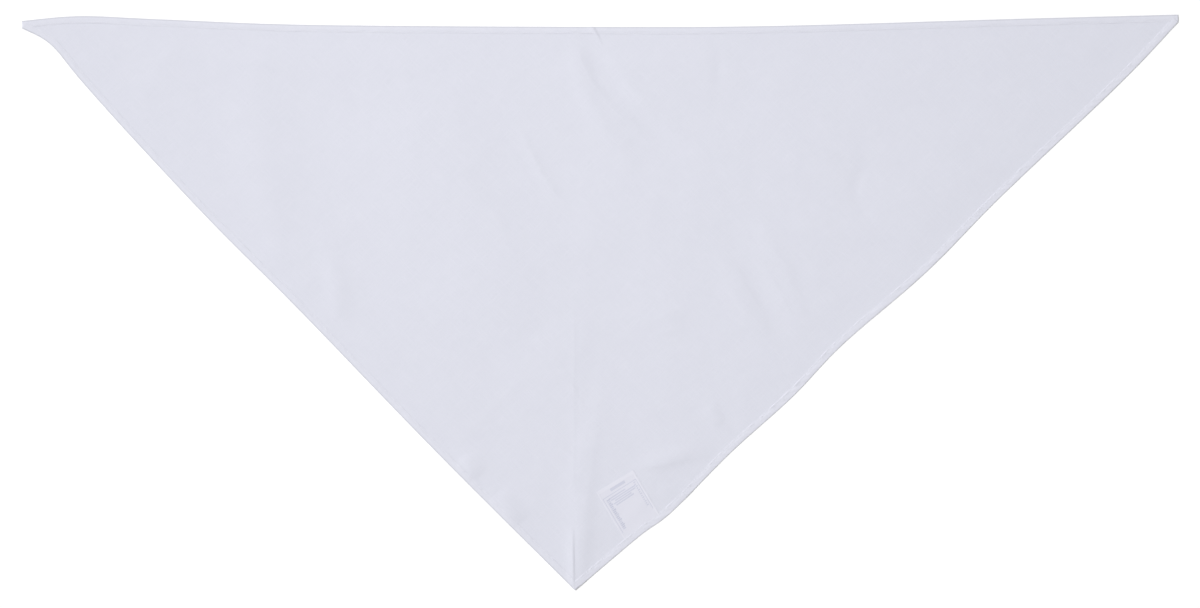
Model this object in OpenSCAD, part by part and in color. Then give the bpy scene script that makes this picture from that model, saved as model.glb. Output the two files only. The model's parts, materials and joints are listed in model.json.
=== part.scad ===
// Triangular arm sling of woven cotton, laid out flat with its turned hems upwards.
// X runs along the long edge, +Y points to the long edge, +Z points up.
// The origin is under the middle of the outline, on the surface that the cloth lies on.

/* [Cloth] */
// Length of the long edge, from tip to tip
long_edge = 1271.5; // [1100:0.5:1400]
// Depth of the sling, from the long edge to the point
drop = 633; // [560:1:700]
// Sideways place of the point, measured from the middle of the long edge
point_x = -27.5; // [-40:0.5:0]
// Sideways place of the centre crease where it meets the long edge
crease_top_x = -8; // [-20:0.5:0]
// Thickness of one layer of the cloth
cloth_t = 0.35; // [0.25:0.05:0.6]

/* [Hems] */
// Width of the turned hems
hem_w = 8; // [6:0.5:12]
// Thickness of the two turned layers of a hem
hem_t = 0.7; // [0.5:0.05:1.2]
// Length of the blunt cut end of each tail
tail_end_w = 8; // [6:0.5:10]

/* [Stitching] */
// Width of a laid sewing thread
thread_w = 0.5; // [0.3:0.05:0.8]
// Thickness of a laid sewing thread
thread_t = 0.12; // [0.08:0.01:0.2]
// Distance from a seam to the inner fold of its hem
seam_inset = 1.3; // [1:0.1:2]

/* [Label] */
// Width of the label
label_w = 47.5; // [35:0.5:55]
// Length of the label, from its free end to the hem
label_l = 54; // [35:0.5:60]
// Thickness of the label tape
label_t = 0.2; // [0.1:0.05:0.3]
// Angle between the label's free end and the long edge
label_turn = 31; // [25:0.5:40]
// Length of the label's end that is caught in the hem
label_tuck = 4.5; // [3:0.5:6]

/* [Hidden] */

// The two halves keep this gap at the centre crease, and the label keeps it at the hem
fold_gap = 0.3;
// Longer than any part, for cutting planes
far = 2000;
// Straight steps between two neighbouring points of an edge
steps = 4;

// How far the left end of the long edge lies below its right end
left_end_low = 7;
left_tip = [-long_edge / 2, drop / 2 - left_end_low];
right_tip = [long_edge / 2, drop / 2];
left_tip_low = left_tip - [0, tail_end_w];
right_tip_low = right_tip - [0, tail_end_w];
point = [point_x, -drop / 2];
crease_top = [crease_top_x, drop / 2 - 13.5];

// Each edge is a chord with a bow: [share of the chord, outward bow in mm]
long_bow = [
    [0.05, 5], [0.12, 1], [0.25, -6], [0.5, -10], [0.65, -10], [0.85, -4]
];
right_leg_bow = [
    [0.1, 5], [0.3, 6], [0.43, 10], [0.56, 5], [0.65, 9], [0.75, 7], [0.85, 10],
    [0.9, 5]
];
left_leg_bow = [
    [0.25, 2], [0.5, 0], [0.65, 1], [0.8, -2], [0.9, -6], [0.96, -10]
];

// Line along which the label goes into the hem of the right leg
label_hinge_from = [23.8, -261.2];
label_hinge_to = [64.8, -229.7];
// Middle of the label's free end
label_free_end = [16, -196.5];

function direction(a, b) = (b - a) / norm(b - a);
function left_of(d) = [-d[1], d[0]];
function bowed(a, b, rows) = [
    for (r = rows) a + (b - a) * r[0] + left_of(direction(a, b)) * r[1]
];
// A point of the smooth curve through b and c, with neighbours a and d
function smooth_at(a, b, c, d, t) =
    b + (c - a) * t / 2 + (2 * a - 5 * b + 4 * c - d) * t * t / 2
    + (3 * b - a - 3 * c + d) * t * t * t / 2;
function smooth(p) = [
    for (i = [0 : len(p) - 2], j = [0 : steps - 1])
        smooth_at(p[max(i - 1, 0)], p[i], p[i + 1], p[min(i + 2, len(p) - 1)], j / steps),
    p[len(p) - 1]
];
// The same line moved inwards, which is to the right of its direction
function inward(p, by) = [
    for (i = [0 : len(p) - 1])
        p[i] - left_of(direction(p[max(i - 1, 0)], p[min(i + 1, len(p) - 1)])) * by
];
function reversed(p) = [for (i = [len(p) - 1 : -1 : 0]) p[i]];

// The outline runs clockwise
long_line = smooth(concat([left_tip], bowed(left_tip, right_tip, long_bow), [right_tip]));
right_leg_line = smooth(
    concat([right_tip_low], bowed(right_tip_low, point, right_leg_bow), [point])
);
left_leg_line = smooth(
    concat([point], bowed(point, left_tip_low, left_leg_bow), [left_tip_low])
);

// Heights of the layers
hem_z = cloth_t;
needle_z = cloth_t + hem_t;

module outline() {
    left_leg_rest = [for (i = [1 : len(left_leg_line) - 1]) left_leg_line[i]];
    polygon(concat(long_line, right_leg_line, left_leg_rest));
}

// The strip between two distances from an edge
module strip(line, near, beyond) {
    polygon(concat(inward(line, near), reversed(inward(line, beyond))));
}

// Everything on the left of the centre crease, or on its right
module crease_side(side) {
    along = direction(point, crease_top);
    across = side * left_of(along);
    edge = across * fold_gap / 2;
    polygon([
        point - along * far + edge, crease_top + along * far + edge,
        crease_top + along * far + across * far, point - along * far + across * far
    ]);
}
LEFT = 1;
RIGHT = -1;

module long_hem_area() {
    intersection() {
        outline();
        strip(long_line, -1, hem_w);
    }
}

module leg_hem_area(line) {
    difference() {
        intersection() {
            outline();
            strip(line, -1, hem_w);
        }
        strip(long_line, -1, hem_w + 0.01);
    }
}

// The seam of a hem, as wide as its thread
module seam_area(line) {
    middle = hem_w - seam_inset;
    strip(line, middle - thread_w / 2, middle + thread_w / 2);
}

module long_seam_area() {
    intersection() {
        outline();
        seam_area(long_line);
    }
}

// Leg seams stop at the long hem, and each keeps to its own side of the point
module leg_seam_area(line) {
    intersection() {
        leg_hem_area(line);
        seam_area(line);
    }
}

module layer(z, t) {
    translate([0, 0, z]) linear_extrude(height = t) children();
}

module half_layer(side, z, t) {
    layer(z, t) intersection() {
        children();
        crease_side(side);
    }
}

module bobbin_threads(side) {
    half_layer(side, 0, thread_t) long_seam_area();
    half_layer(side, 0, thread_t)
        leg_seam_area(side == LEFT ? left_leg_line : right_leg_line);
}

// The ground layer, with a groove underneath where each bobbin thread lies
module cloth_half(side) {
    difference() {
        half_layer(side, 0, cloth_t) outline();
        bobbin_threads(side);
    }
}

// The label's outline, from its free end to a length past the hem line
module label_area() {
    across = [cos(label_turn), sin(label_turn)] * label_w / 2;
    down = [sin(label_turn), -cos(label_turn)] * (label_l + 30);
    polygon([
        label_free_end - across, label_free_end + across,
        label_free_end + across + down, label_free_end - across + down
    ]);
}

// The band beside the hem line, from one distance inside it to another
module beside_hem_line(from, to) {
    along = direction(label_hinge_from, label_hinge_to);
    a = label_hinge_from - along * 100;
    b = label_hinge_to + along * 100;
    in = left_of(along);
    polygon([a + in * from, b + in * from, b + in * to, a + in * to]);
}

module label_tucked_layer() {
    layer(hem_z, label_t) intersection() {
        label_area();
        beside_hem_line(-label_tuck, 0);
    }
}

module cloth_left() { color([0.86, 0.87, 0.91]) cloth_half(LEFT); }
module cloth_right() { color([0.85, 0.86, 0.90]) cloth_half(RIGHT); }
module hem_long_left() {
    color([0.90, 0.91, 0.94]) half_layer(LEFT, hem_z, hem_t) long_hem_area();
}
module hem_long_right() {
    color([0.89, 0.90, 0.93]) half_layer(RIGHT, hem_z, hem_t) long_hem_area();
}
module hem_leg_left() {
    color([0.90, 0.91, 0.94]) half_layer(LEFT, hem_z, hem_t) leg_hem_area(left_leg_line);
}
module hem_leg_right() {
    color([0.89, 0.90, 0.93]) difference() {
        half_layer(RIGHT, hem_z, hem_t) leg_hem_area(right_leg_line);
        label_tucked_layer();
    }
}
module needle_thread_long_left() {
    color([0.94, 0.94, 0.96]) half_layer(LEFT, needle_z, thread_t) long_seam_area();
}
module needle_thread_long_right() {
    color([0.94, 0.94, 0.96]) half_layer(RIGHT, needle_z, thread_t) long_seam_area();
}
module needle_thread_leg_left() {
    color([0.94, 0.94, 0.96]) half_layer(LEFT, needle_z, thread_t) leg_seam_area(left_leg_line);
}
module needle_thread_leg_right() {
    color([0.94, 0.94, 0.96])
        half_layer(RIGHT, needle_z, thread_t) leg_seam_area(right_leg_line);
}
module bobbin_thread_long_left() {
    color([0.93, 0.93, 0.95]) half_layer(LEFT, 0, thread_t) long_seam_area();
}
module bobbin_thread_long_right() {
    color([0.93, 0.93, 0.95]) half_layer(RIGHT, 0, thread_t) long_seam_area();
}
module bobbin_thread_leg_left() {
    color([0.93, 0.93, 0.95]) half_layer(LEFT, 0, thread_t) leg_seam_area(left_leg_line);
}
module bobbin_thread_leg_right() {
    color([0.93, 0.93, 0.95]) half_layer(RIGHT, 0, thread_t) leg_seam_area(right_leg_line);
}
module label() {
    color([0.95, 0.95, 0.97]) layer(hem_z, label_t) intersection() {
        label_area();
        beside_hem_line(fold_gap, label_l * 2);
    }
}
module label_tucked_end() { color([0.95, 0.95, 0.97]) label_tucked_layer(); }

cloth_left();
cloth_right();
hem_long_left();
hem_long_right();
hem_leg_left();
hem_leg_right();
needle_thread_long_left();
needle_thread_long_right();
needle_thread_leg_left();
needle_thread_leg_right();
bobbin_thread_long_left();
bobbin_thread_long_right();
bobbin_thread_leg_left();
bobbin_thread_leg_right();
label();
label_tucked_end();
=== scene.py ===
import json
import math

import bpy
import numpy as np
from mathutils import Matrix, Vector, geometry, noise


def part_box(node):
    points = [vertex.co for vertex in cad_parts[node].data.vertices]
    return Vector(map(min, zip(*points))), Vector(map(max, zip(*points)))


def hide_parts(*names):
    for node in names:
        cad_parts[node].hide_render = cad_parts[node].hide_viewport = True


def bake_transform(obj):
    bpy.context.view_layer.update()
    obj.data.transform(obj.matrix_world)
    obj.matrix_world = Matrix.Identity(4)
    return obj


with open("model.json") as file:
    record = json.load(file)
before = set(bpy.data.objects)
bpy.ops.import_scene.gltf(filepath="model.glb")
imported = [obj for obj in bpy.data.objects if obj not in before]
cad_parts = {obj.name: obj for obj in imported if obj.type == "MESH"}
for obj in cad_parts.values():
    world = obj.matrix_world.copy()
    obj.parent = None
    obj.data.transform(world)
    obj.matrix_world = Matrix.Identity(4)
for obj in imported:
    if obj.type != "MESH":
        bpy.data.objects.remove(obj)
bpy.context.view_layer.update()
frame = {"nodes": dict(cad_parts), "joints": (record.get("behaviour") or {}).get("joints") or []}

MM = 0.001

# Layers of the cloth, in metres
CLOTH_T = 0.35 * MM
HEM_W = 8 * MM
HEM_T = 0.34 * MM
SEAM_IN = 1.4 * MM
LABEL_T = 0.15 * MM
# The underside clears the floor by this much, which leaves room for the bobbin stitches
REST_GAP = 0.14 * MM

# Mesh sizes
GRID_STEP = 3.4 * MM
EDGE_STEP = 2.4 * MM
HEM_STEP = 0.9 * MM

JOINTS = {j["name"]: j for j in frame["joints"]}


# ---------------------------------------------------------------- the flat outline

def top_loop(node):
    """The outline of a flat CAD node's upper face, counterclockwise, as an array of (x, y)."""
    mesh = frame["nodes"][node].data
    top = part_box(node)[1][2]
    after = {}
    for face in mesh.polygons:
        points = [mesh.vertices[i].co for i in face.vertices]
        if face.normal.z < 0.9 or min(p.z for p in points) < top - 0.02 * MM:
            continue
        keys = [(round(p.x, 6), round(p.y, 6)) for p in points]
        for a, b in zip(keys, keys[1:] + keys[:1]):
            if a == b:
                continue
            if (b, a) in after:
                del after[(b, a)]
            else:
                after[(a, b)] = True
    follow = {a: b for a, b in after}
    loop = [next(iter(follow))]
    while follow[loop[-1]] != loop[0]:
        loop.append(follow[loop[-1]])
    return np.array(loop)


def opened_at_crease(loop):
    """The loop as a chain that leaves out its longest side, which is the cut at the crease."""
    sides = np.linalg.norm(np.roll(loop, -1, 0) - loop, axis=1)
    return np.roll(loop, -(int(np.argmax(sides)) + 1), 0)


def smooth_line(points, step):
    """A smooth curve through the points, with points at equal steps."""
    p = np.asarray(points, float)
    before = np.vstack([2 * p[0] - p[1], p, 2 * p[-1] - p[-2]])
    t = np.linspace(0, 1, 12, endpoint=False)[:, None]
    pieces = []
    for i in range(len(p) - 1):
        a, b, c, d = before[i:i + 4]
        pieces.append(
            b + (c - a) * t / 2 + (2 * a - 5 * b + 4 * c - d) * t**2 / 2
            + (3 * b - a - 3 * c + d) * t**3 / 2
        )
    dense = np.vstack(pieces + [p[-1:]])
    run = np.concatenate([[0], np.cumsum(np.linalg.norm(np.diff(dense, axis=0), axis=1))])
    count = max(2, int(round(run[-1] / step)) + 1)
    at = np.linspace(0, run[-1], count)
    return np.column_stack([np.interp(at, run, dense[:, k]) for k in (0, 1)])


def inward_normals(line):
    """Unit normals of a counterclockwise edge line, pointing into the cloth."""
    along = np.gradient(line, axis=0)
    along /= np.linalg.norm(along, axis=1)[:, None]
    return np.column_stack([-along[:, 1], along[:, 0]])


right_chain = opened_at_crease(top_loop("cloth_right"))
left_chain = opened_at_crease(top_loop("cloth_left"))
POINT = (right_chain[0] + left_chain[-1]) / 2
CREASE_TOP = (right_chain[-1] + left_chain[0]) / 2
# The crease's own point stands too close to its neighbour for an even curve, so it is left out
ring = np.vstack([[POINT], right_chain[1:-1], left_chain[1:-1]])

turn_in = ring - np.roll(ring, 1, 0)
turn_out = np.roll(ring, -1, 0) - ring
turn = np.arctan2(turn_out[:, 1], turn_out[:, 0]) - np.arctan2(turn_in[:, 1], turn_in[:, 0])
turn = (turn + np.pi) % (2 * np.pi) - np.pi
corners = [i for i in range(len(ring)) if turn[i] > math.radians(35)]
assert len(corners) == 5 and corners[0] == 0, corners
RIGHT_LEG = ring[corners[0]:corners[1] + 1]
RIGHT_END = ring[corners[1]:corners[2] + 1]
LONG_EDGE = ring[corners[2]:corners[3] + 1]
LEFT_END = ring[corners[3]:corners[4] + 1]
LEFT_LEG = np.vstack([ring[corners[4]:], ring[:1]])
SIDE_PATHS = [smooth_line(line, 14 * MM) / MM for line in (RIGHT_LEG, LONG_EDGE, LEFT_LEG)]


# ---------------------------------------------------------------- how the cloth lies

def near_path(path, x, y):
    """Distance to a path, which side of it a point is on (+ is left), and its share along it."""
    lengths = np.linalg.norm(np.diff(path, axis=0), axis=1)
    starts = np.concatenate([[0], np.cumsum(lengths)])
    best = np.full(x.shape, np.inf)
    side = np.zeros(x.shape)
    share = np.zeros(x.shape)
    for i, length in enumerate(lengths):
        (ax, ay), (bx, by) = path[i], path[i + 1]
        dx, dy = (bx - ax) / length, (by - ay) / length
        t = np.clip((x - ax) * dx + (y - ay) * dy, 0, length)
        gap = np.hypot(x - ax - t * dx, y - ay - t * dy)
        closer = gap < best
        best = np.where(closer, gap, best)
        cross = dx * (y - ay) - dy * (x - ax)
        side = np.where(closer, np.sign(cross), side)
        share = np.where(closer, (starts[i] + t) / starts[-1], share)
    return best, side, share


def eased(t):
    """A smooth step from 0 to 1."""
    t = np.clip(t, 0, 1)
    return t * t * (3 - 2 * t)


# Soft wrinkles: (points of the path in mm, height in mm, half width left, half width right).
# A negative height is a valley.
WRINKLES = [
    # broad swells of the left half
    ([(-196, 262), (-160, 150), (-112, 45), (-62, -38)], 2.9, 52, 78),
    ([(-384, 236), (-371, 135), (-346, 25)], 1.5, 30, 24),
    ([(-300, 60), (-290, 15), (-287, -25)], 1.2, 15, 11),
    # the curved valley that runs down from the notch in the long edge, between two ridges
    ([(-11, 292), (0, 256), (22, 224), (52, 197), (86, 170)], -1.5, 12, 10),
    ([(-30, 282), (-20, 238), (2, 196), (30, 160)], 1.0, 12, 10),
    ([(16, 268), (46, 225), (92, 184)], 0.5, 8, 12),
    # the pair of wrinkles beside the middle of the right leg
    ([(140, 76), (172, 22), (202, -44)], -1.2, 12, 11),
    ([(122, 60), (150, 8), (182, -52)], 0.7, 13, 12),
    ([(172, 98), (204, 34), (226, -22)], 0.6, 8, 9),
    # short wrinkles left of the middle
    ([(-90, 186), (-61, 136), (-42, 110)], 0.6, 8, 6),
    ([(-150, 138), (-120, 101), (-86, 38)], 0.25, 6, 5),
    # the ridge that runs up from the point, and its steep right side at the point
    ([(9, -78), (1, -112), (-8, -150), (-22, -196), (-30, -240), (-31, -285)], 0.9, 25, 15),
    ([(-14, -200), (-19, -262), (-23, -340)], 1.1, 10, 11),
    ([(8, -120), (-2, -184), (-8, -240)], -0.35, 13, 8),
    # folds between the label and the right leg
    ([(44, -180), (78, -170), (118, -158)], 0.9, 10, 8),
    ([(60, -208), (88, -212), (112, -206)], 0.6, 8, 7),
    # small marks
    ([(287, 151), (280, 119), (297, 92)], -0.5, 6, 6),
    ([(0, -8), (28, -20), (66, -19), (94, -2)], 0.3, 8, 8),
    ([(130, 296), (131, 260), (129, 222)], -0.4, 6, 6),
    ([(118, -112), (134, -136)], 1.2, 9, 10),
    ([(-116, -210), (-88, -246)], 2.3, 15, 10),
    ([(-152, -168), (-134, -194)], 1.7, 14, 10),
    ([(-153, -151), (-76, -74)], 0.25, 5, 5),
    ([(325, 290), (352, 256)], -0.5, 7, 7),
    ([(-505, 222), (-470, 282)], 0.4, 12, 9),
    ([(396, 232), (452, 214)], 0.4, 12, 10),
]

# Narrow tucks that run across a hem, at the notch and in the crease at the point, in the same form.
TUCKS = [
    ([(-19, 322), (-12, 310), (-5, 298), (1, 287)], 1.3, 1.2, 4.5),
    ([(-30, -250), (-29.8, -270), (-29.4, -292), (-29, -316)], 1.15, 1.3, 6.0),
]

# Sharp packing creases: (points of the path in mm, height at its start and at its end in mm,
# width left, width right). A negative height is a valley. "centre" is the fold itself.
CREASES = [
    ("centre", 0.07, 0.35, 16, 9),
    ([(30, 258), (140, 140), (250, 26), (283, -8)], 0.20, 0.12, 7, 6),
    ([(-36, 262), (-150, 142), (-262, 22)], 0.10, 0.08, 6, 7),
    # a thin one beside the centre crease
    ([(-28.4, 14), (-28.7, -110), (-29.2, -236)], 0.26, 0.30, 2.2, 8),
    # the folds below the notch
    ([(-26, 286), (-18, 262), (-6, 240), (14, 214), (40, 190)], 0.42, 0.22, 4, 8),
    ([(2, 286), (28, 244), (58, 206), (92, 182)], 0.24, 0.22, 4, 9),
    ([(14, 236), (36, 200), (66, 166)], 0.28, 0.15, 4, 8),
    # left of the middle
    ([(-92, 196), (-76, 168), (-60, 136), (-38, 106)], 0.26, 0.20, 3, 6),
    ([(-104, 178), (-88, 150), (-72, 122)], 0.18, 0.12, 3, 6),
    ([(-122, 104), (-92, 66)], 0.14, 0.12, 3, 6),
    # beside the middle of the right leg
    ([(146, 40), (168, 6), (190, -28)], 0.30, 0.24, 4, 7),
    ([(168, 76), (196, 50), (222, 34)], 0.24, 0.14, 3.5, 7),
    ([(176, 52), (198, 10), (218, -28)], 0.30, 0.20, 4, 7),
    # small ones near the right leg, near the left leg and below the middle
    ([(284, 116), (288, 140), (306, 158)], -0.24, -0.16, 4, 4),
    ([(286, 96), (308, 108)], -0.20, -0.16, 4, 4),
    ([(-276, 34), (-262, 12), (-250, -12)], 0.28, 0.24, 4, 7),
    ([(58, -20), (80, -8), (100, -16)], 0.18, 0.14, 4, 5),
    ([(60, -36), (84, -30), (102, -38)], 0.18, 0.14, 4, 5),
    # beside the label
    ([(42, -184), (84, -175), (128, -166)], 0.42, 0.30, 6, 3.5),
    ([(62, -206), (84, -202), (104, -200)], 0.30, 0.20, 6, 3.5),
    ([(128, -112), (140, -128), (152, -142)], -0.30, -0.24, 4, 4),
    # the crest that runs up from the point
    ([(12, -74), (3, -110), (-7, -170), (-18, -240)], 0.06, 0.13, 5, 7),
]
# Radius of a crease's crest, in mm
CREASE_ROUND = 1.1
# Share of a crease's length over which each of its ends fades
CREASE_FADE = 0.2

# How far in from the edge the cloth is held down by its hems, and how far its wrinkles are weaker
HOLD_REACH = 45
FADE_REACH = 12
# Mean height of the free cloth and of its held edge, in mm
FREE_MEAN = 0.8
HELD_MEAN = 0.08
# How softly the cloth comes to rest on the floor, in mm
FLOOR_SOFTNESS = 0.25


def fractal(x, y, size, seed, octaves=3):
    """Seeded noise from -1 to 1 at points given in mm, with features of about that size."""
    out = np.empty(x.shape)
    for i in range(x.size):
        p = Vector((x.flat[i] / size, y.flat[i] / size, seed))
        out.flat[i] = noise.fractal(p, 1.0, 2.0, octaves)
    return out


def bumps(features, x, y):
    """Sum of the soft ridges and valleys of a list."""
    total = np.zeros(x.shape)
    for points, height, left, right in features:
        path = smooth_line(points, 6)
        gap, side, share = near_path(path, x, y)
        width = np.where(side > 0, left, right)
        ends = np.sin(np.pi * np.clip(share, 0.04, 0.96)) ** 0.6
        total += height * ends * np.exp(-((gap / width) ** 2))
    return total


def creases(x, y):
    """Height of the sharp packing creases."""
    total = np.zeros(x.shape)
    for path, first, last, left, right in CREASES:
        line = np.array([CREASE_TOP, POINT]) / MM if path == "centre" else smooth_line(path, 8)
        gap, side, share = near_path(line, x, y)
        width = np.where(side > 0, left, right)
        height = first + (last - first) * share**1.6
        if path != "centre":
            height = height * eased(share / CREASE_FADE) * eased((1 - share) / CREASE_FADE)
        rounded = np.sqrt(gap**2 + CREASE_ROUND**2) - CREASE_ROUND
        total += height * np.exp(-rounded / width)
    return total


def relief_mm(x, y):
    """Height of the underside over the floor, in mm, at points given in mm."""
    edge = np.minimum.reduce([near_path(path, x, y)[0] for path in SIDE_PATHS])
    # The stiffer hems lie nearer to the floor, with slow waves
    hold = eased(edge / HOLD_REACH)
    swell = FREE_MEAN + 1.1 * fractal(x, y, 170, 3.1, 2) + 0.30 * fractal(x, y, 48, 8.7, 3)
    waves = HELD_MEAN + 0.28 * (fractal(x, y, 60, 21.4, 2) + 0.25)
    free = 0.65 + 0.35 * eased(edge / FADE_REACH)
    total = waves * (1 - hold) + swell * hold + (bumps(WRINKLES, x, y) + creases(x, y)) * free
    total = total + bumps(TUCKS, x, y)
    # Rests on the floor instead of passing through it
    return FLOOR_SOFTNESS * np.logaddexp(0, total / FLOOR_SOFTNESS)


def relief(xy):
    """Height of the underside over the floor, in metres, at an array of (x, y) in metres."""
    xy = np.asarray(xy, float)
    return relief_mm(xy[:, 0] / MM, xy[:, 1] / MM) * MM + REST_GAP


# ---------------------------------------------------------------- mesh helpers

def new_object(name, verts, faces, smooth=True):
    """A mesh object made of these vertices and faces."""
    mesh = bpy.data.meshes.new(name)
    mesh.from_pydata([tuple(v) for v in verts], [], [tuple(int(i) for i in f) for f in faces])
    mesh.validate()
    mesh.update()
    if smooth:
        mesh.polygons.foreach_set("use_smooth", [True] * len(mesh.polygons))
    obj = bpy.data.objects.new(name, mesh)
    bpy.context.collection.objects.link(obj)
    return obj


def tube(rings):
    """Vertices and faces of a closed tube through rings, an array of (ring, point, 3)."""
    count, sides = rings.shape[:2]
    verts = rings.reshape(-1, 3)
    faces = []
    for i in range(count - 1):
        for j in range(sides):
            k = (j + 1) % sides
            faces.append((i * sides + j, i * sides + k, (i + 1) * sides + k, (i + 1) * sides + j))
    faces.append(tuple(range(sides - 1, -1, -1)))
    faces.append(tuple((count - 1) * sides + j for j in range(sides)))
    return verts, faces


def slab(across, down):
    """Faces of a slab whose upper grid of points comes before its lower grid."""
    count = across * down
    faces = []
    for r in range(down - 1):
        for c in range(across - 1):
            a = r * across + c
            quad = (a, a + across, a + across + 1, a + 1)
            faces.append(quad)
            faces.append(tuple(i + count for i in reversed(quad)))
    border = (
        list(range(across)) + [r * across + across - 1 for r in range(1, down)]
        + [(down - 1) * across + c for c in range(across - 2, -1, -1)]
        + [r * across for r in range(down - 2, 0, -1)]
    )
    for i, j in zip(border, border[1:] + border[:1]):
        faces.append((i, j, j + count, i + count))
    return faces


# ---------------------------------------------------------------- the cloth

def inside(polygon, points):
    """Which points lie inside the polygon."""
    x, y = points[:, 0], points[:, 1]
    result = np.zeros(len(points), bool)
    for (ax, ay), (bx, by) in zip(polygon, np.roll(polygon, -1, 0)):
        if ay == by:
            continue
        crosses = (ay > y) != (by > y)
        result ^= crosses & (x < (bx - ax) * (y - ay) / (by - ay) + ax)
    return result


# Distances in mm: the rim's inset under the fold of the hem, the step along a crease, the rows of
# vertices beside it, and the least distances of the grid from a crease and of both from the rim
RIM_INSET = 0.35
CREASE_STEP = 2.6
CREASE_ROWS = (-2.6, -1.6, -0.7, 0, 0.7, 1.6, 2.6)
GRID_TO_CREASE = 3.6
GRID_TO_RIM = 1.5
CREASE_TO_RIM = 1.2


def make_cloth():
    """The ground layer: one sheet with two faces and a rim."""
    sides = (RIGHT_LEG, RIGHT_END, LONG_EDGE, LEFT_END, LEFT_LEG)
    border = np.vstack([smooth_line(line, EDGE_STEP)[:-1] for line in sides])
    # The folded edge of the hem covers the rim of the ground layer
    step_in = np.roll(border, -1, 0) - np.roll(border, 1, 0)
    step_in /= np.linalg.norm(step_in, axis=1)[:, None]
    border = border + np.column_stack([-step_in[:, 1], step_in[:, 0]]) * RIM_INSET * MM
    low, high = border.min(0), border.max(0)
    columns = np.arange(low[0], high[0], GRID_STEP)
    rows = np.arange(low[1], high[1], GRID_STEP * math.sqrt(3) / 2)
    grid = np.array([
        (x + (GRID_STEP / 2 if r % 2 else 0), y) for r, y in enumerate(rows) for x in columns
    ])
    # Lines of vertices along the sharp creases and the tucks
    centre = np.array([CREASE_TOP, POINT]) / MM
    lines = [centre] + [np.array(c[0], float) for c in CREASES[1:] + TUCKS]
    extra = []
    keep = inside(border, grid)
    for path in lines:
        line = smooth_line(path, CREASE_STEP) * MM
        normals = inward_normals(line)
        for offset in CREASE_ROWS:
            extra.append(line + normals * offset * MM)
        keep &= near_path(line / MM, grid[:, 0] / MM, grid[:, 1] / MM)[0] > GRID_TO_CREASE
    extra = np.vstack(extra)
    grid = grid[keep]
    rim_path = np.vstack([border, border[:1]]) / MM
    gap = near_path(rim_path, grid[:, 0] / MM, grid[:, 1] / MM)[0]
    grid = grid[gap > GRID_TO_RIM]
    extra = extra[inside(border, extra)]
    gap = near_path(rim_path, extra[:, 0] / MM, extra[:, 1] / MM)[0]
    extra = extra[gap > CREASE_TO_RIM]
    flat = np.vstack([border, grid, extra])
    verts, _, faces, *_ = geometry.delaunay_2d_cdt(
        [Vector(p) for p in flat], [], [list(range(len(border)))], 1, 1e-6, False
    )
    plan = np.array([(v.x, v.y) for v in verts])
    faces = np.array([tuple(f) for f in faces])
    faces = [tuple(f) for f in faces[inside(border, plan[faces].mean(axis=1))]]
    height = relief(plan)
    count = len(plan)
    under = np.column_stack([plan, height])
    upper = np.column_stack([plan, height + CLOTH_T])
    all_faces = faces + [tuple(count + i for i in reversed(f)) for f in faces]
    # The triangles all turn the same way, so the first one tells whether the upper side faces up
    a, b, c = (plan[i] for i in faces[0][:3])
    if (b[0] - a[0]) * (c[1] - a[1]) - (b[1] - a[1]) * (c[0] - a[0]) < 0:
        all_faces = [tuple(reversed(f)) for f in all_faces]
    once = {}
    for f in faces:
        for i, j in zip(f, f[1:] + f[:1]):
            once[(i, j)] = once.get((i, j), 0) + 1
    rim = [(i, j) for (i, j) in once if (j, i) not in once]
    all_faces += [(i, i + count, j + count, j) for i, j in rim]
    return new_object("cloth", np.vstack([upper, under]), all_faces)


# ---------------------------------------------------------------- hems

TOTAL_T = CLOTH_T + HEM_T
# Length of the puckers between stitches, and of the ripples that roping makes
PUCKER_SIZE = 4 * MM
ROPE_SIZE = 4.5 * MM
# How far a ripple runs on along the hem for each unit that it goes inwards
ROPE_SLANT = 1.3
# The turned layers are never pressed flatter than this
SEAM_LEAST = 0.08 * MM
# Angles round the folded edge at which the hem's section has points
FOLD_ANGLES = (-70, -38, -8, 22, 52, 78)
# Points across the hem's top: (distance in from the edge in mm, crown in mm, share of the ripples)
TOP_POINTS = ((1.3, 0, 0.6), (2.6, 0.08, 1.0), (4.0, 0.09, 0.9), (5.3, 0.03, 0.6))


def wave(position, size, seed, octaves=2):
    """Seeded noise along a line, for positions in metres and features of about size metres."""
    return np.array([
        noise.fractal(Vector((p / size, seed, 0.5)), 1.0, 2.0, octaves) for p in position
    ])


def run_along(line):
    """Distance along the line at each of its points."""
    return np.concatenate([[0], np.cumsum(np.linalg.norm(np.diff(line, axis=0), axis=1))])


def seam_height(run, seed, ruffle):
    """How far the hem's top lies over the underside along its seam, where it is pressed flatter."""
    pressed = 0.62 + 0.5 * wave(run, 14 * MM, seed + 2.0)
    pucker = ruffle * wave(run, PUCKER_SIZE, seed + 4.0)
    return np.maximum(CLOTH_T + HEM_T * pressed + pucker, CLOTH_T + SEAM_LEAST)


def hem_width(run, seed):
    """The width of a hem, which varies a little along it."""
    return HEM_W * (1 + 0.045 * wave(run, 26 * MM, seed + 9.0, 3))


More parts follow.
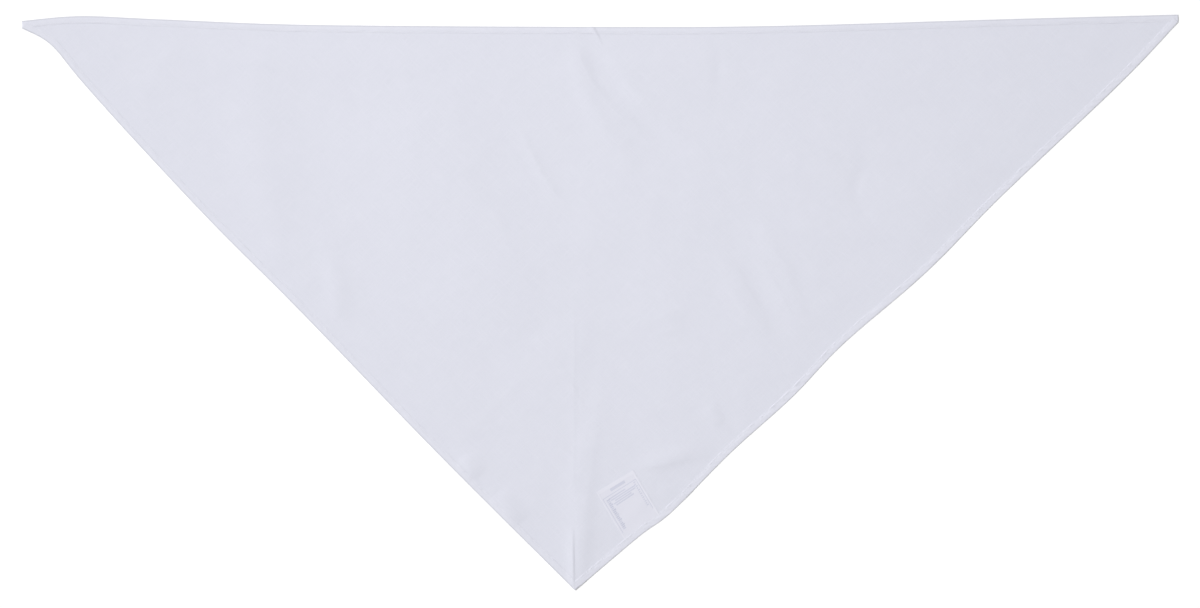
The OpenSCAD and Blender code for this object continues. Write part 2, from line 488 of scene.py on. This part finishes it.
def hem_section(run, seed, ruffle, over):
    """Inward distances and heights of the points round one hem, one row for each station."""
    roping = wave(run, ROPE_SIZE, seed, 2)
    seam = seam_height(run, seed, ruffle)
    width = hem_width(run, seed)
    radius = TOTAL_T / 2
    points = []
    for degrees in FOLD_ANGLES:
        a = math.radians(degrees)
        points.append((radius * (1 - math.cos(a)), radius + radius * math.sin(a)))
    # The turned layers twist a little, so the ripples on their top run aslant
    for inward, crown, share in TOP_POINTS:
        ripple = np.interp(run + ROPE_SLANT * inward * MM, run, roping)
        points.append((inward * MM, TOTAL_T + crown * MM + ruffle * share * ripple))
    points += [
        (width - SEAM_IN - 0.5 * MM, seam + 0.04 * MM),
        (width - SEAM_IN, seam - 0.03 * MM),
        (width - SEAM_IN + 0.45 * MM, seam),
        (width - 0.66 * MM, seam - 0.02 * MM),
        (width - 0.32 * MM, (seam + CLOTH_T) / 2 + 0.02 * MM),
        (width - 0.06 * MM, CLOTH_T + 0.05 * MM),
        (width + 0.04 * MM, CLOTH_T - 0.12 * MM),
        (1.4 * MM, CLOTH_T * 0.45),
    ]
    inward, height = (
        np.column_stack([np.broadcast_to(p[k], run.shape) for p in points]) for k in (0, 1)
    )
    return inward, height + over[:, None]


def place(line, normals, inward, height):
    """Points at inward distances and heights over the underside, one row for each station."""
    xy = line[:, None, :] + normals[:, None, :] * inward[:, :, None]
    ground = relief(xy.reshape(-1, 2)).reshape(inward.shape)
    return np.concatenate([xy, (ground + height)[:, :, None]], axis=2)


def over_long_hem(line):
    """How far a leg hem rises near its tail, where it lies on the hem of the long edge."""
    gap = near_path(SIDE_PATHS[1], line[:, 0] / MM, line[:, 1] / MM)[0]
    return HEM_T * 0.75 * eased((17 - gap) / 8)


def make_hem(name, line, seed, ruffle, over=None):
    """A rolled hem along a line, and which strip of its section each of its faces belongs to."""
    lift = np.zeros(len(line)) if over is None else over
    inward, height = hem_section(run_along(line), seed, ruffle, lift)
    rings = place(line, inward_normals(line), inward, height)
    verts, faces = tube(rings)
    hem_object = new_object(name, verts, faces)
    sides = rings.shape[1]
    strips = np.zeros(len(faces), int)
    strips[:(len(line) - 1) * sides] = np.tile(np.arange(sides), len(line) - 1)
    return hem_object, strips


# ---------------------------------------------------------------- stitches

# From one stitch to the next, the visible length of one, how far it lies aslant, and its sides
STITCH = 2.7 * MM
STITCH_LONG = 2.25 * MM
STITCH_SLANT = 0.10 * MM
STITCH_SIDES = 6
# A seam starts and stops this far from the ends of its edge
SEAM_END = 6 * MM
# (share of the stitch, height over the cloth as a share of the thread, share of its radius)
STITCH_SHAPE = [
    (0.0, -1.6, 0.75), (0.08, -0.2, 0.95), (0.3, 0.75, 1.0),
    (0.7, 0.75, 1.0), (0.92, -0.2, 0.95), (1.0, -1.6, 0.75),
]


def make_stitches(name, line, seed, ruffle, radius, above, over=None):
    """A row of separate lockstitches along a hem's seam, on the top or on the underside."""
    normals = inward_normals(line)
    run = run_along(line)
    lift = np.zeros(len(line)) if over is None else over
    top = seam_height(run, seed, ruffle) - 0.03 * MM + lift
    seam = line + normals * (hem_width(run, seed) - SEAM_IN)[:, None]
    count = int((run[-1] - 2 * SEAM_END) / STITCH)
    share, rise, fat = (np.array(column) for column in zip(*STITCH_SHAPE))
    number = np.arange(count)[:, None]
    at = SEAM_END + number * STITCH + share * STITCH_LONG
    unsteady = np.array([noise.noise(Vector((n * 0.7, seed, 4.2))) for n in range(count)])[:, None]
    sway = (share - 0.5) * 2 * STITCH_SLANT + 0.06 * MM * unsteady
    nx, ny = (np.interp(at, run, normals[:, k]) for k in (0, 1))
    x = np.interp(at, run, seam[:, 0]) + nx * sway
    y = np.interp(at, run, seam[:, 1]) + ny * sway
    middle = relief(np.column_stack([x.ravel(), y.ravel()])).reshape(x.shape)
    if above:
        middle = middle + np.interp(at, run, top) + rise * radius
    else:
        middle = middle - rise * radius * 0.35
    angle = np.linspace(0, 2 * math.pi, STITCH_SIDES, endpoint=False)
    out = radius * fat[:, None] * np.cos(angle)
    up = radius * fat[:, None] * np.sin(angle) * 0.8
    rings = np.stack([
        x[:, :, None] + nx[:, :, None] * out, y[:, :, None] + ny[:, :, None] * out,
        np.maximum(middle[:, :, None] + up, 0.01 * MM),
    ], axis=-1)
    one, faces_of_one = tube(rings[0])
    faces = [tuple(i + n * len(one) for i in f) for n in range(count) for f in faces_of_one]
    return new_object(name, rings.reshape(-1, 3), faces)


# ---------------------------------------------------------------- the label

hinge = JOINTS["label_turn"]
hinge_at = np.array(hinge["pos_m"][:2])
hinge_along = np.array(hinge["axis"][:2])
hinge_along = hinge_along / np.linalg.norm(hinge_along)
into_label = np.array([-hinge_along[1], hinge_along[0]])
label_corners = top_loop("label")
far_from_hinge = (label_corners - hinge_at) @ into_label
held = label_corners[np.argsort(far_from_hinge)[:2]]
free = label_corners[np.argsort(far_from_hinge)[2:]]
held = held[np.argsort(held @ hinge_along)]
free = free[np.argsort(free @ hinge_along)]
# The tape goes on for a little way into the hem
TUCK = 4.5 * MM
down_left = (held[0] - free[0]) / np.linalg.norm(held[0] - free[0])
down_right = (held[1] - free[1]) / np.linalg.norm(held[1] - free[1])
tucked = np.array([held[0] + down_left * TUCK, held[1] + down_right * TUCK])


def on_label(u, v):
    """Plan position on the label: u across from its left side, v from its free end to the hem."""
    u, v = np.asarray(u, float)[..., None], np.asarray(v, float)[..., None]
    left = free[0] + (held[0] - free[0]) * v
    right = free[1] + (held[1] - free[1]) * v
    return left + (right - left) * u


def label_height(u, v):
    """Height of the label's underside over the floor."""
    u, v = np.asarray(u, float), np.asarray(v, float)
    xy = on_label(u, v)
    ground = relief(xy.reshape(-1, 2)).reshape(u.shape)
    away = 1 - np.clip(v, 0, 1)
    curl = 0.10 * MM * away**2.2 + 0.14 * MM * away * np.sin(u * 4.4 + 1.6) ** 2
    ripple = 0.08 * MM * np.sin(v * 17 + u * 3.0) * np.clip(v, 0, 1) * (1 - np.clip(v, 0, 1)) * 4
    return ground + CLOTH_T + 0.05 * MM + curl + ripple


def label_top(u, v):
    """Height of the label's upper surface: thicker at both selvedges and at the folded free end."""
    bead = 0.17 * MM * (np.exp(-((u - 0.02) / 0.017) ** 2) + np.exp(-((u - 0.98) / 0.017) ** 2))
    folded = 0.08 * MM * (1 - eased((v - 0.06) / 0.03))
    return label_height(u, v) + LABEL_T + bead + folded


def make_label():
    """The tape, and which of its faces are denser: its selvedges and its folded free end."""
    # closer rows of points at both selvedges
    selvedge = [0, 0.01, 0.02, 0.03, 0.045]
    columns = selvedge + list(np.linspace(0.06, 0.94, 36)) + [1 - u for u in reversed(selvedge)]
    across, down = len(columns), 49
    v_end = 1 + TUCK / np.linalg.norm(held[0] - free[0])
    u, v = np.meshgrid(columns, np.linspace(0, v_end, down))
    xy = on_label(u, v)
    low = label_height(u, v)
    high = label_top(u, v)
    verts = np.vstack([
        np.column_stack([xy.reshape(-1, 2), high.ravel()]),
        np.column_stack([xy.reshape(-1, 2), low.ravel()]),
    ])
    faces = slab(across, down)
    tape_object = new_object("label_tape", verts, faces)
    tape_object.data.set_sharp_from_angle(angle=math.radians(50))
    corner = np.array([f[0] for f in faces]) % (across * down)
    at_u, at_v = u.ravel()[corner], v.ravel()[corner]
    dense = (at_u < 0.03) | (at_u > 0.95) | (at_v < 0.06)
    return tape_object, dense


def label_bars():
    """The print, as plain bars: (left, right, top, bottom) in shares of the label, and its ink."""
    heading = (0.31, 0.70, 0.080, 0.138, 0)
    lines = [
        (0.17, 0.62, 0.228), (0.20, 0.86, 0.272), (0.28, 0.84, 0.314), (0.22, 0.70, 0.356),
        (0.25, 0.74, 0.398),
    ]
    bars = [heading] + [(left, right, top, top + 0.026, 0) for left, right, top in lines]
    # a thin frame, open towards the hem
    bars += [
        (0.05, 0.95, 0.178, 0.192, 0), (0.045, 0.060, 0.19, 0.92, 0), (0.935, 0.95, 0.19, 0.88, 0),
    ]
    for row in range(18):
        top = 0.235 + row * 0.036
        bars.append((0.105, 0.180 + 0.02 * (row % 3 == 0), top, top + 0.026, row % 4 != 1))
    for row in range(13):
        top = 0.215 + row * 0.044
        bars.append((0.855, 0.905 - 0.015 * (row % 2), top, top + 0.024, 0))
    return bars


def make_print(name, ink):
    """The bars of one ink, as thin slabs sunk a little into the tape."""
    verts, faces = [], []
    for left, right, top, bottom, which in label_bars():
        if which != ink:
            continue
        nu = max(2, int((right - left) * 40) + 1)
        nv = max(2, int((bottom - top) * 40) + 1)
        u, v = np.meshgrid(np.linspace(left, right, nu), np.linspace(top, bottom, nv))
        xy = on_label(u, v).reshape(-1, 2)
        surface = label_top(u, v).ravel()
        base = len(verts)
        for lift in (0.035 * MM, -0.06 * MM):
            verts += [(p[0], p[1], z + lift) for p, z in zip(xy, surface)]
        faces += [tuple(base + i for i in f) for f in slab(nu, nv)]
    return new_object(name, verts, faces, smooth=False)


# ---------------------------------------------------------------- materials

def node_tree(name, roughness=0.9):
    """A new material, its node tree and its shader."""
    material = bpy.data.materials.new(name)
    material.use_nodes = True
    tree = material.node_tree
    shader = tree.nodes["Principled BSDF"]
    shader.inputs["Roughness"].default_value = roughness
    return material, tree, shader


class Build:
    """Short ways to add and join shader nodes."""

    def __init__(self, tree):
        self.tree = tree

    def node(self, kind, **values):
        made = self.tree.nodes.new(kind)
        for key, value in values.items():
            setattr(made, key, value)
        return made

    def link(self, source, target):
        self.tree.links.new(source, target)

    def math(self, operation, a, b=None, c=None):
        made = self.node("ShaderNodeMath", operation=operation)
        for i, value in enumerate((a, b, c)):
            if value is None:
                continue
            if isinstance(value, (int, float)):
                made.inputs[i].default_value = value
            else:
                self.link(value, made.inputs[i])
        return made.outputs[0]

    def noise(self, vector, scale, detail=2.0, roughness=0.5):
        made = self.node("ShaderNodeTexNoise")
        made.inputs["Scale"].default_value = scale
        made.inputs["Detail"].default_value = detail
        made.inputs["Roughness"].default_value = roughness
        self.link(vector, made.inputs["Vector"])
        return made.outputs["Fac"]

    def scaled(self, vector, scale):
        made = self.node("ShaderNodeMapping")
        made.inputs["Scale"].default_value = scale
        self.link(vector, made.inputs["Vector"])
        return made.outputs["Vector"]

    def turned(self, vector, degrees):
        made = self.node("ShaderNodeMapping")
        made.inputs["Rotation"].default_value = (0, 0, math.radians(degrees))
        self.link(vector, made.inputs["Vector"])
        return made.outputs["Vector"]

    def ramp(self, value, low, high, low_at=0.0, high_at=1.0):
        made = self.node("ShaderNodeMapRange")
        self.link(value, made.inputs["Value"])
        made.inputs["From Min"].default_value = low_at
        made.inputs["From Max"].default_value = high_at
        made.inputs["To Min"].default_value = low
        made.inputs["To Max"].default_value = high
        return made.outputs["Result"]

    def mix(self, factor, first, second):
        made = self.node("ShaderNodeMix", data_type="RGBA")
        if isinstance(factor, (int, float)):
            made.inputs[0].default_value = factor
        else:
            self.link(factor, made.inputs[0])
        for socket, value in ((made.inputs[6], first), (made.inputs[7], second)):
            if isinstance(value, tuple):
                socket.default_value = (*value, 1)
            else:
                self.link(value, socket)
        return made.outputs[2]


def plain_weave(build, vector, pitch):
    """Height from 0 to 1 of a plain weave whose threads run along X and Y of the vector."""
    parts = build.node("ShaderNodeSeparateXYZ")
    build.link(vector, parts.inputs[0])
    turns = math.pi / pitch
    u = build.math("MULTIPLY", parts.outputs["X"], turns)
    v = build.math("MULTIPLY", parts.outputs["Y"], turns)
    sin_u, sin_v = build.math("SINE", u), build.math("SINE", v)
    cos_u, cos_v = build.math("COSINE", u), build.math("COSINE", v)
    over = build.math("MULTIPLY", sin_u, sin_v)
    warp_up = build.math("MULTIPLY_ADD", over, 0.5, 0.5)
    weft_up = build.math("SUBTRACT", 1.0, warp_up)
    warp = build.math("MULTIPLY", build.math("ABSOLUTE", sin_u), warp_up)
    weft = build.math("MULTIPLY", build.math("ABSOLUTE", sin_v), weft_up)
    return build.math("MAXIMUM", warp, weft)


def cotton(name, bright, dull, weave_depth=0.06):
    """Matte plain-weave cotton on the cross grain of the legs, with slubs and cloudy patches."""
    material, tree, shader = node_tree(name, 0.92)
    build = Build(tree)
    place_in = build.node("ShaderNodeTexCoord").outputs["Object"]
    grain = build.turned(place_in, 45)
    weave = plain_weave(build, grain, 0.46 * MM)
    warp_slub = build.noise(build.scaled(grain, (1400, 45, 60)), 1.0, 2.0)
    weft_slub = build.noise(build.scaled(grain, (38, 1250, 60)), 1.0, 2.0)
    slubs = build.math("MAXIMUM", warp_slub, weft_slub)
    cloud = build.noise(place_in, 38, 3.0, 0.6)
    fleck = build.noise(place_in, 330, 2.0, 0.6)
    tone = build.math("MULTIPLY_ADD", cloud, 0.20, build.math("MULTIPLY", slubs, 0.90))
    tone = build.math("MULTIPLY_ADD", fleck, 0.20, tone)
    tone = build.ramp(tone, 0.0, 1.0, 0.45, 0.90)
    color = build.mix(tone, dull, bright)
    # Painted shade: the colour is darker in the hollows of the weave
    shade = build.ramp(weave, 0.93, 1.0, 0.0, 0.8)
    hsv = build.node("ShaderNodeHueSaturation")
    build.link(color, hsv.inputs["Color"])
    build.link(shade, hsv.inputs["Value"])
    build.link(hsv.outputs["Color"], shader.inputs["Base Color"])
    shader.inputs["Sheen Weight"].default_value = 0.25
    shader.inputs["Sheen Roughness"].default_value = 0.6
    shader.inputs["Specular IOR Level"].default_value = 0.15
    rough = build.ramp(weave, 0.98, 0.86, 0.0, 1.0)
    build.link(rough, shader.inputs["Roughness"])
    bump_slub = build.node("ShaderNodeBump")
    bump_slub.inputs["Strength"].default_value = 0.35
    bump_slub.inputs["Distance"].default_value = 0.12 * MM
    build.link(slubs, bump_slub.inputs["Height"])
    bump_weave = build.node("ShaderNodeBump")
    bump_weave.inputs["Strength"].default_value = 0.6
    bump_weave.inputs["Distance"].default_value = weave_depth * MM
    build.link(weave, bump_weave.inputs["Height"])
    build.link(bump_slub.outputs["Normal"], bump_weave.inputs["Normal"])
    build.link(bump_weave.outputs["Normal"], shader.inputs["Normal"])
    return material


def sewing_thread(name, color):
    """Twisted cotton thread."""
    material, tree, shader = node_tree(name, 0.7)
    build = Build(tree)
    place_in = build.node("ShaderNodeTexCoord").outputs["Object"]
    twist = build.node("ShaderNodeTexWave", bands_direction="DIAGONAL")
    twist.inputs["Scale"].default_value = 900
    build.link(place_in, twist.inputs["Vector"])
    # Painted shade: the colour is darker in the grooves of the twist
    dull = tuple(c * 0.86 for c in color)
    build.link(build.mix(twist.outputs["Fac"], dull, color), shader.inputs["Base Color"])
    shader.inputs["Sheen Weight"].default_value = 0.2
    bump = build.node("ShaderNodeBump")
    bump.inputs["Strength"].default_value = 0.5
    bump.inputs["Distance"].default_value = 0.04 * MM
    build.link(twist.outputs["Fac"], bump.inputs["Height"])
    build.link(bump.outputs["Normal"], shader.inputs["Normal"])
    return material


def woven_tape(name, color):
    """Close, smooth label tape: fine ribs across it."""
    material, tree, shader = node_tree(name, 0.62)
    build = Build(tree)
    place_in = build.node("ShaderNodeTexCoord").outputs["Object"]
    across = math.degrees(math.atan2(free[1][1] - free[0][1], free[1][0] - free[0][0]))
    grain = build.turned(place_in, -across)
    weave = plain_weave(build, grain, 0.30 * MM)
    # Painted shade: the colour is darker in the hollows between the ribs
    dull = tuple(c * 0.94 for c in color)
    tone = build.ramp(weave, 0, 1, 0.0, 0.7)
    build.link(build.mix(tone, dull, color), shader.inputs["Base Color"])
    shader.inputs["Sheen Weight"].default_value = 0.15
    bump = build.node("ShaderNodeBump")
    bump.inputs["Strength"].default_value = 0.6
    bump.inputs["Distance"].default_value = 0.05 * MM
    build.link(weave, bump.inputs["Height"])
    build.link(bump.outputs["Normal"], shader.inputs["Normal"])
    return material


def ink(name, color):
    """Slightly broken print on tape."""
    material, tree, shader = node_tree(name, 0.8)
    build = Build(tree)
    place_in = build.node("ShaderNodeTexCoord").outputs["Object"]
    broken = build.noise(place_in, 2600, 2.0)
    pale = tuple(0.75 * c + 0.25 * 0.72 for c in color)
    tone = build.ramp(broken, 0, 1, 0.3, 0.7)
    build.link(build.mix(tone, color, pale), shader.inputs["Base Color"])
    return material


def paint(obj, *materials):
    """Gives the object these materials, in this order of their indices."""
    obj.data.materials.clear()
    for material in materials:
        obj.data.materials.append(material)


# ---------------------------------------------------------------- putting it together

CLOTH_COLOR = (0.698, 0.705, 0.783)
CLOTH_DULL = (0.655, 0.664, 0.742)
HEM_COLOR = (0.710, 0.716, 0.793)
HEM_DULL = (0.666, 0.674, 0.752)
THREAD_COLOR = (0.80, 0.81, 0.87)
TAPE_COLOR = (0.692, 0.694, 0.774)
SELVEDGE_COLOR = (0.716, 0.718, 0.796)
DARK_INK_COLOR = (0.505, 0.52, 0.635)
PALE_INK_COLOR = (0.552, 0.565, 0.676)

cotton_cloth = cotton("cotton_cloth", CLOTH_COLOR, CLOTH_DULL)
cotton_hem = cotton("cotton_hem", HEM_COLOR, HEM_DULL)
# Painted shade on two folded edges: the outermost strips of the section, and more lightly the next
# one, get darker copies of the hem cotton
OUTER_STRIPS = 5
painted_fold_shades = [
    cotton(name, tuple(c * tone for c in HEM_COLOR), tuple(c * tone for c in HEM_DULL))
    for name, tone in (("cotton_painted_shade_edge", 0.74), ("cotton_painted_shade_side", 0.88))
]
thread = sewing_thread("sewing_thread", THREAD_COLOR)
tape = woven_tape("label_tape", TAPE_COLOR)
dense_tape = woven_tape("label_selvedge", SELVEDGE_COLOR)
dark_ink = ink("label_ink_dark", DARK_INK_COLOR)
pale_ink = ink("label_ink_pale", PALE_INK_COLOR)

cloth = make_cloth()
paint(cloth, cotton_cloth)

NEEDLE_R = 0.21 * MM
BOBBIN_R = 0.16 * MM

# name: (edge line, seed, height of its ripples, whether it lies on the long hem,
# whether its folded edge gets painted shade, halves of its CAD nodes)
SIDES = {
    "long": (LONG_EDGE, 11.0, 0.12 * MM, False, True, ("left", "right")),
    "leg_right": (RIGHT_LEG, 37.0, 0.50 * MM, True, False, ("",)),
    "leg_left": (LEFT_LEG, 53.0, 0.28 * MM, True, True, ("",)),
}
hems = []
stitches = []
for side, (edge, seed, ruffle, crosses, painted_rim_shade, halves) in SIDES.items():
    line = smooth_line(edge, HEM_STEP)
    rise = over_long_hem(line) if crosses else None
    nodes = [f"{side}_{half}".rstrip("_") for half in halves]
    hem, strips = make_hem(f"hem_{side}_folded", line, seed, ruffle, rise)
    paint(hem, cotton_hem, *(painted_fold_shades if painted_rim_shade else ()))
    # Painted shade: the outer strips of the folded edge take the darker cotton
    if painted_rim_shade:
        tone = np.where(strips < OUTER_STRIPS, 1, np.where(strips == OUTER_STRIPS, 2, 0))
        hem.data.polygons.foreach_set("material_index", tone.astype(np.int32))
    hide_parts(*[f"hem_{n}" for n in nodes])
    hems.append(hem)
    for thread_name, radius, above in (("needle", NEEDLE_R, True), ("bobbin", BOBBIN_R, False)):
        name = f"{thread_name}_stitches_{side}"
        row = make_stitches(name, line, seed, ruffle, radius, above, rise)
        paint(row, thread)
        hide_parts(*[f"{thread_name}_thread_{n}" for n in nodes])
        stitches.append(row)

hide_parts("cloth_left", "cloth_right")

label, dense = make_label()
paint(label, tape, dense_tape)
label.data.polygons.foreach_set("material_index", dense.astype(np.int32))
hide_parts("label", "label_tucked_end")
prints = []
for name, which, material in (("label_print_dark", 1, dark_ink), ("label_print_pale", 0, pale_ink)):
    bars = make_print(name, which)
    paint(bars, material)
    prints.append(bars)

# Bakes the placement of the cloth, hems and seams into their meshes
for piece in [cloth] + hems + stitches:
    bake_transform(piece)

# Bakes the placement of the label and its print into their meshes
for piece in [label] + prints:
    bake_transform(piece)


# ---------------------------------------------------------------- floor, light and camera

def make_floor():
    """A pale ground, just under the cloth."""
    half = 12.0
    floor = new_object(
        "floor", [(-half, -half, 0), (half, -half, 0), (half, half, 0), (-half, half, 0)],
        [(0, 1, 2, 3)], smooth=False,
    )
    floor.location.z = -0.05 * MM
    material, tree, shader = node_tree("pale_floor", 0.9)
    shader.inputs["Base Color"].default_value = (0.99, 0.99, 0.99, 1)
    shader.inputs["Specular IOR Level"].default_value = 0.1
    paint(floor, material)


def area_light(name, at, aim, size, power, spread):
    """A square lamp of this size, turned towards aim, with its spread in degrees."""
    data = bpy.data.lights.new(name, "AREA")
    data.shape = "SQUARE"
    data.size = size
    data.energy = power
    data.spread = math.radians(spread)
    light = bpy.data.objects.new(name, data)
    light.location = at
    light.rotation_euler = (Vector(aim) - Vector(at)).to_track_quat("-Z", "Y").to_euler()
    bpy.context.collection.objects.link(light)


make_floor()
sun_data = bpy.data.lights.new("key", "SUN")
sun_data.energy = 1.85
sun_data.angle = math.radians(24)
sun = bpy.data.objects.new("key", sun_data)
sun.rotation_euler = Vector((0.60, -0.29, -0.74)).to_track_quat("-Z", "Y").to_euler()
bpy.context.collection.objects.link(sun)
area_light("soft_fill", (-0.5, 0.7, 1.9), (-0.12, 0.08, 0), 0.7, 1.8, 90)
world = bpy.data.worlds.new("studio")
world.use_nodes = True
world.node_tree.nodes["Background"].inputs["Color"].default_value = (1, 1, 1, 1)
world.node_tree.nodes["Background"].inputs["Strength"].default_value = 0.53
bpy.context.scene.world = world
bpy.context.scene.view_settings.view_transform = "Standard"

# Straight above, with a long lens; the frame is 1.32 m wide where the cloth lies
FRAME_WIDTH = 1.32
LENS = 85
SENSOR = 36
CAMERA_Y = -1.7 * MM
camera_data = bpy.data.cameras.new("camera")
camera_data.lens = LENS
camera_data.sensor_width = SENSOR
camera_data.clip_end = 100
camera = bpy.data.objects.new("camera", camera_data)
# The cloth stands a little above the middle of the frame
camera.location = (0, CAMERA_Y, FRAME_WIDTH * LENS / SENSOR)
bpy.context.collection.objects.link(camera)
bpy.context.scene.camera = camera
